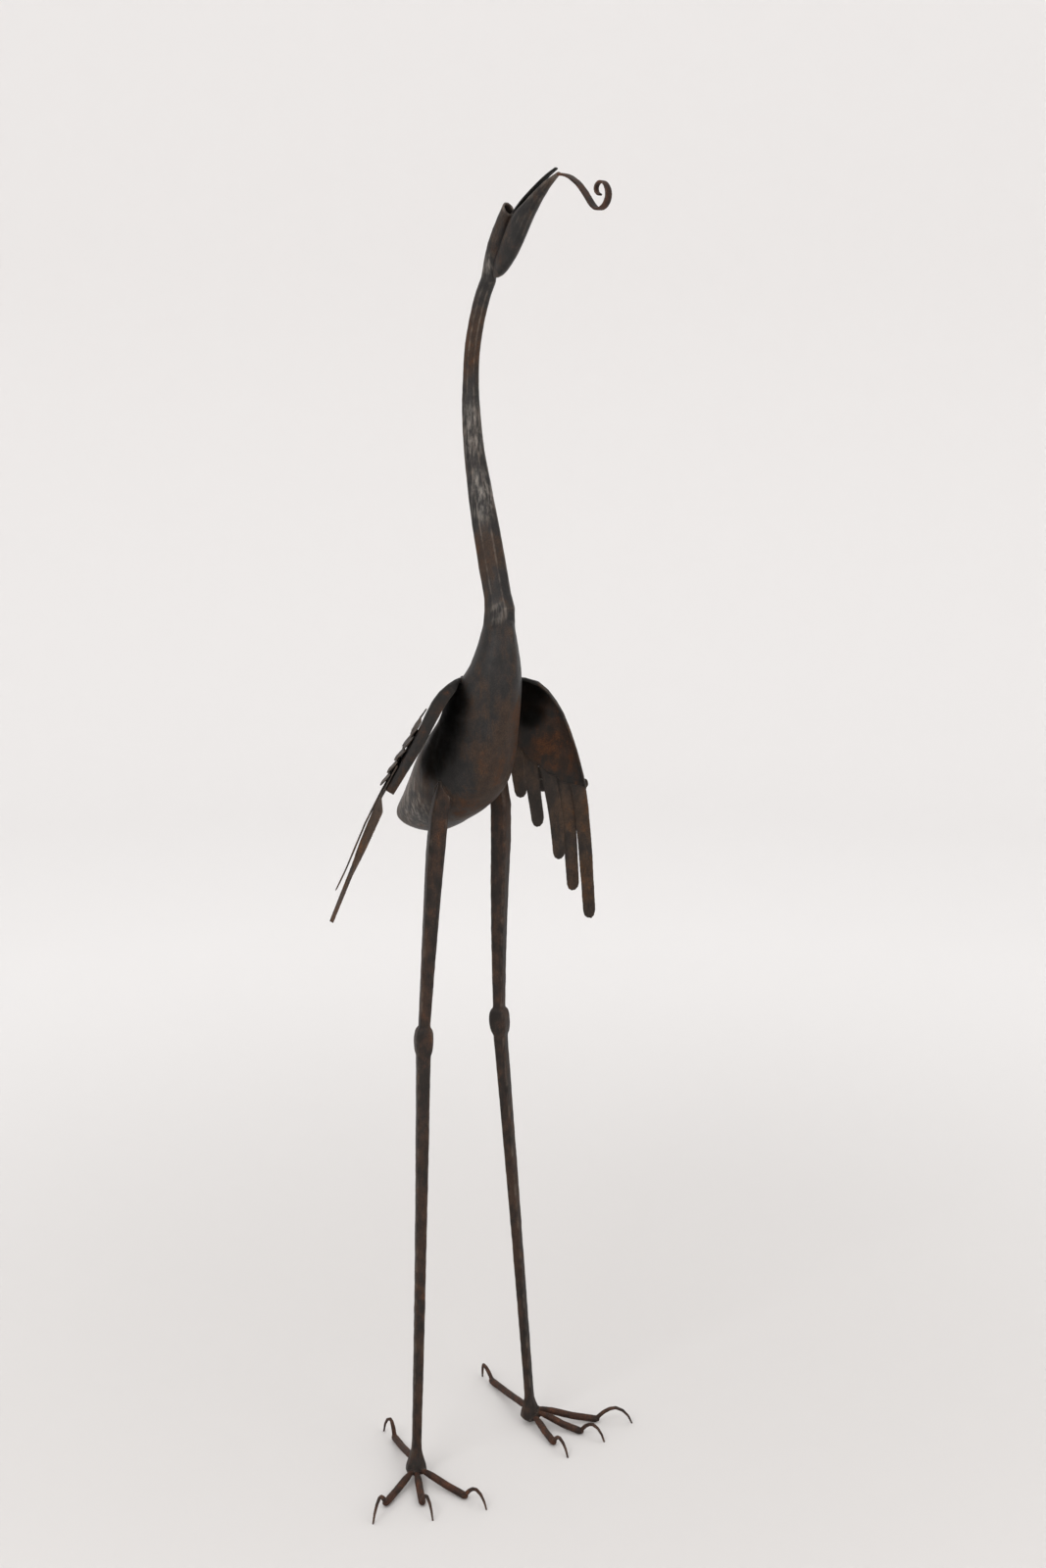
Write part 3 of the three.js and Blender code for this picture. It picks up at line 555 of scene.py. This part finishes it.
neck_form = copy_of("neck_bar", "neck")
lengthened(neck_form, max)
lengthened(neck_form, min)
head_form = swollen(copy_of("head_sheet", "crown", "jaw"), 0.4 * MM)
only(body_form)
neck_form.select_set(True)
head_form.select_set(True)
bpy.ops.object.join()
body = remeshed(body_form, 1.05 * MM, smooth=4)
body.name = "body_neck_and_head"
body_joint = near_height(body, "body_joint", JOINT_HEIGHT, 16 * MM)
head_joint = near_height(body, "head_joint", HEAD_JOINT_HEIGHT, 32 * MM)
applied(body, "SMOOTH", factor=0.5, iterations=24, vertex_group=body_joint)
applied(body, "SMOOTH", factor=0.5, iterations=26, vertex_group=head_joint)
shoulder = near_point(body, "shoulder", UNDER_SHOULDER, 54 * MM)
applied(body, "DISPLACE", strength=SWELLING, mid_level=0, vertex_group=shoulder)
hammered(body, "CLOUDS", 46 * MM, 1.3 * MM)
hammered(body, "CLOUDS", 19 * MM, 0.55 * MM)
hammered(body, "VORONOI", 9 * MM, 0.2 * MM)
lighter(proud_marked(body, 0.35 * MM, rounds=20), 0.42)
dressed(shaded(body), body_iron, "black_iron", "body", "neck", "crown", "jaw")

# %% [markdown]
# ## Legs
# Each leg is one bar, forged square and drawn thinner towards the foot, upset to a knob for the knee and
# flared over the roots of the toes. A square bar that was worked hot has edges rounded by a millimetre or
# two and faces that are never quite flat.

# %% Legs
legs = {}
for side in SIDES:
    leg = remeshed(copy_of(f"{side}_leg_bar", f"{side}_leg"), 1.4 * MM, smooth=3)
    hammered(leg, "CLOUDS", 48 * MM, 0.7 * MM)
    hammered(leg, "CLOUDS", 11 * MM, 0.45 * MM)
    legs[side] = lighter(proud_marked(leg, 0.7 * MM), 0.7)
    dressed(shaded(leg), bar_iron, "rusted_bar", f"{side}_leg")

# %% [markdown]
# ## Toes
# The toes are round bar, cut blunt, with a thin claw drawn out and hooked down to the ground.

# %% Toes
TOES = ("outer", "middle", "inner", "hind")
toes = {}
for side in SIDES:
    for which in TOES:
        toe = remeshed(copy_of(f"{side}_{which}_toe_bar", f"{side}_{which}_toe"), 0.85 * MM, smooth=6)
        swollen(toe, 0.2 * MM)
        hammered(toe, "CLOUDS", 14 * MM, 0.45 * MM)
        toes[side, which] = lighter(proud_marked(toe, 0.6 * MM), 0.6)
        dressed(shaded(toe), toe_iron, "toe_iron", f"{side}_{which}_toe")

# %% [markdown]
# ## Beak and tongue
# The upper beak is a sliver of sheet, black from the fire and darker still with painted shade of the gape.
# The tongue was cut as a tapering strip, drawn out and rolled to a scroll over the tip of the pliers.

# %% Upper beak and tongue
beak = remeshed(copy_of("upper_beak_sheet", "upper_beak"), 0.6 * MM, smooth=3)
hammered(beak, "CLOUDS", 16 * MM, 0.4 * MM)
dressed(lighter(proud_marked(shaded(beak), 0.5 * MM), 0.6), beak_iron, "black_iron", "upper_beak")
tongue = swollen(remeshed(copy_of("tongue_strip", "tongue"), 0.6 * MM, smooth=4), 0.25 * MM)
hammered(tongue, "CLOUDS", 9 * MM, 0.4 * MM)
dressed(lighter(proud_marked(shaded(tongue), 0.5 * MM), 0.6), toe_iron, "toe_iron", "tongue")

# %% [markdown]
# ## Wings
# Each wing is a thin sheet with its leading edge turned in, and long strips welded behind its lower edge.
# Thin plate keeps the dents of the hammer as long soft waves, so here both faces are moved together,
# sideways, and the plate stays as thick as it was.

# %% Wing sheets and long feathers
FEATHERS = 5
OUTWARD = {"right": -1, "left": 1}


def outer_marked(piece, outward):
    """Stores which points look away from the body, where no painted shade is laid."""
    attribute = piece.data.attributes.new("outer", "FLOAT", "POINT")
    looks = [float(vertex.normal.x * outward > 0) for vertex in piece.data.vertices]
    attribute.data.foreach_set("value", looks)


sheets = {}
for side in SIDES:
    sheet = remeshed(copy_of(f"{side}_wing_plate", f"{side}_wing_sheet"), 0.9 * MM, smooth=5)
    hammered(sheet, "CLOUDS", 40 * MM, 1.6 * MM, direction="X")
    sheets[side] = lighter(proud_marked(sheet, 0.6 * MM), 0.6)
    outer_marked(sheet, OUTWARD[side])
    dressed(shaded(sheet), sheet_iron, "rusted_sheet", f"{side}_wing_sheet")
    for number in range(1, FEATHERS + 1):
        node = f"{side}_long_feather_{number}"
        strip = remeshed(copy_of(f"{node}_strip", node), 0.9 * MM, smooth=3)
        hammered(strip, "CLOUDS", 40 * MM, 1.0 * MM, direction="X")
        dressed(shaded(lighter(proud_marked(strip, 0.6 * MM), 0.6)), feather_iron, "feather_iron", node)

# %% [markdown]
# The short feathers were cut as scalloped strips and curled off the wing with a tap at each tip. Subdivision
# rounds the solid's straight cuts to scallops.

# %% Short feathers
ROWS = 5
for side in SIDES:
    for number in range(1, ROWS + 1):
        node = f"{side}_short_feather_row_{number}"
        row = applied(copy_of(f"{node}_scales", node), "SUBSURF", levels=2, render_levels=2)
        swollen(row, 0.2 * MM)
        hammered(row, "CLOUDS", 12 * MM, 0.5 * MM)
        dressed(proud_marked(shaded(row), 0.6 * MM), feather_iron, "feather_iron", node)

# %% [markdown]
# ## Welds
# The pieces meet in beads of weld metal. A bead is a row of overlapping drops, so one drop is modelled, put
# down again and again along the line where two pieces touch, and the row is fused by a remesh.

# %% A drop, and a bead of drops along a contact
DROP_FLATNESS = 0.7  # its height as a share of its width
TOO_FLAT = 0.75  # a point faces the base like this or more where the two only lie side by side

random.seed(7)
bpy.ops.object.select_all(action="DESELECT")
bpy.ops.mesh.primitive_ico_sphere_add(subdivisions=2, radius=1)
drop = bpy.context.object
drop.name = "weld_drop"
bpy.ops.object.mode_set(mode="EDIT")
bpy.ops.mesh.select_all(action="SELECT")
bpy.ops.transform.resize(value=(1, 1, DROP_FLATNESS))
bpy.ops.object.mode_set(mode="OBJECT")
print("weld drop, triangles:", triangles_of(drop))


def contact_line(piece, base, reach, spacing):
    """Points about that far apart on the base, where the sides of a piece come within reach of it."""
    mesh = base.data
    tree = BVHTree.FromPolygons([v.co for v in mesh.vertices], [f.vertices for f in mesh.polygons])
    points = []
    for vertex in piece.data.vertices:
        near, normal, _, _ = tree.find_nearest(vertex.co, reach)
        if near is None or abs(vertex.normal.dot(normal)) > TOO_FLAT:
            continue
        if all((near - point).length > spacing for point, _ in points):
            points.append((near.copy(), normal.copy()))
    return points


def weld(name, piece, base, size, reach, slot, smooth=3):
    """A bead of weld metal of that size where the piece meets the base."""
    drops = []
    for point, normal in contact_line(piece, base, reach, 0.5 * size):
        copy = bpy.data.objects.new(name, drop.data.copy())
        scene.collection.objects.link(copy)
        copy.location = point
        copy.rotation_euler = normal.to_track_quat("Z", "Y").to_euler()
        copy.scale = [0.5 * size * random.uniform(0.85, 1.15)] * 3
        drops.append(copy)
    if not drops:
        print(name, "has no contact")
        return
    only(drops[0])
    for copy in drops:
        copy.select_set(True)
    bpy.ops.object.join()
    bpy.ops.object.transform_apply(location=True, rotation=True, scale=True)
    bead = remeshed(bpy.context.object, 0.15 * size, smooth=smooth)
    bead.name = name
    dressed(proud_marked(shaded(bead), 0.12 * size), weld_iron, slot)


# %% Hips, shoulders and ankles
for side in SIDES:
    weld(f"{side}_hip_weld", legs[side], body, 8 * MM, 2 * MM, "black_iron", smooth=22)
    weld(f"{side}_shoulder_weld", sheets[side], body, 6 * MM, 2.5 * MM, "black_iron", smooth=10)
    for which in TOES:
        weld(f"{side}_{which}_toe_weld", toes[side, which], legs[side], 4.4 * MM, 1.6 * MM, "rusted_bar")
bpy.data.objects.remove(drop)

# %% [markdown]
# ## Studio
# A dark bird wants a pale room: the floor runs up into a round wall, so that every side of the bird is seen
# against the same soft white and the wall's light draws a thin bright line along its edges. One large soft
# light stands high at the camera's left, and a weaker one at its right.

# %% Floor and wall in one sweep
ROOM_RADIUS = 6.0
ROOM_HEIGHT = 4.2
FLOOR_SHARE = 0.7  # of the radius, before the floor starts to rise
QUARTER_STEPS = 12


def sweep_at(step):
    """Radius and height of the quarter round between floor and wall after that many steps."""
    turn = step / QUARTER_STEPS * math.pi / 2
    rounding = ROOM_RADIUS * (1 - FLOOR_SHARE)
    return ROOM_RADIUS * FLOOR_SHARE + rounding * math.sin(turn), rounding * (1 - math.cos(turn))


bpy.ops.object.select_all(action="DESELECT")
bpy.ops.mesh.primitive_circle_add(vertices=128, radius=FLOOR_SHARE * ROOM_RADIUS, fill_type="NGON")
room = bpy.context.object
room.name = "studio_sweep"
bpy.ops.object.mode_set(mode="EDIT")
bpy.ops.mesh.select_all(action="SELECT")
bpy.ops.mesh.region_to_loop()
for step in range(1, QUARTER_STEPS + 1):
    radius_before, rise_before = sweep_at(step - 1)
    radius, rise = sweep_at(step)
    bpy.ops.mesh.extrude_edges_move()
    bpy.ops.transform.resize(value=(radius / radius_before, radius / radius_before, 1))
    bpy.ops.transform.translate(value=(0, 0, rise - rise_before))
bpy.ops.mesh.extrude_edges_move()
bpy.ops.transform.translate(value=(0, 0, ROOM_HEIGHT - sweep_at(QUARTER_STEPS)[1]))
bpy.ops.object.mode_set(mode="OBJECT")
shaded(room)
print(room.name, "triangles:", triangles_of(room))

# %% [markdown]
# Backdrop paper is matt and white. Around the bird it is a little greyer: painted shade that keeps the floor
# as quiet as in soft daylight and the wall lighter.

# %% Backdrop paper
# Painted shade: the paper is greyer towards the middle of the floor.
GREY_UNTIL = 0.3  # metres from the middle of the floor
WHITE_FROM = 2.8

paper, tree, place = new_material("backdrop_paper_with_painted_floor_shade")
distance = add(tree, "VectorMath", {0: place}, operation="LENGTH")["Value"]
far = where(tree, (distance, GREY_UNTIL, WHITE_FROM))
tone = layered(tree, linear("#d4d1cf"), (far, linear("#efedec")), colours=True)
shader = add(tree, "BsdfPrincipled", {"Base Color": tone, "Roughness": 0.9})
add(tree, "OutputMaterial", {"Surface": shader["BSDF"]})
room.data.materials.append(paper)
print("paper:", paper.name)

# %% Lights
def soft_light(name, place, aim, size, power, colour):
    """A square softbox that faces a point."""
    light = bpy.data.lights.new(name, "AREA")
    light.size = size
    light.energy = power
    light.color = linear(colour)[:3]
    box = bpy.data.objects.new(name, light)
    scene.collection.objects.link(box)
    box.location = place
    box.rotation_euler = (Vector(aim) - Vector(place)).to_track_quat("-Z", "Y").to_euler()


BREAST = (0, 0, 0.95)
SKY_STRENGTH = 1.03

soft_light("key_softbox", (-3.0, -0.9, 2.9), BREAST, 1.8, 46, "#ffffff")
soft_light("fill_softbox", (-0.1, -3.4, 1.9), BREAST, 1.6, 20, "#fffaf6")

sky = bpy.data.worlds.new("studio_ceiling")
sky.use_nodes = True
sky.node_tree.nodes["Background"].inputs["Color"].default_value = linear("#ffffff")
sky.node_tree.nodes["Background"].inputs["Strength"].default_value = SKY_STRENGTH
scene.world = sky
scene.view_settings.view_transform = "Standard"
print("lights:", [light.name for light in bpy.data.lights])
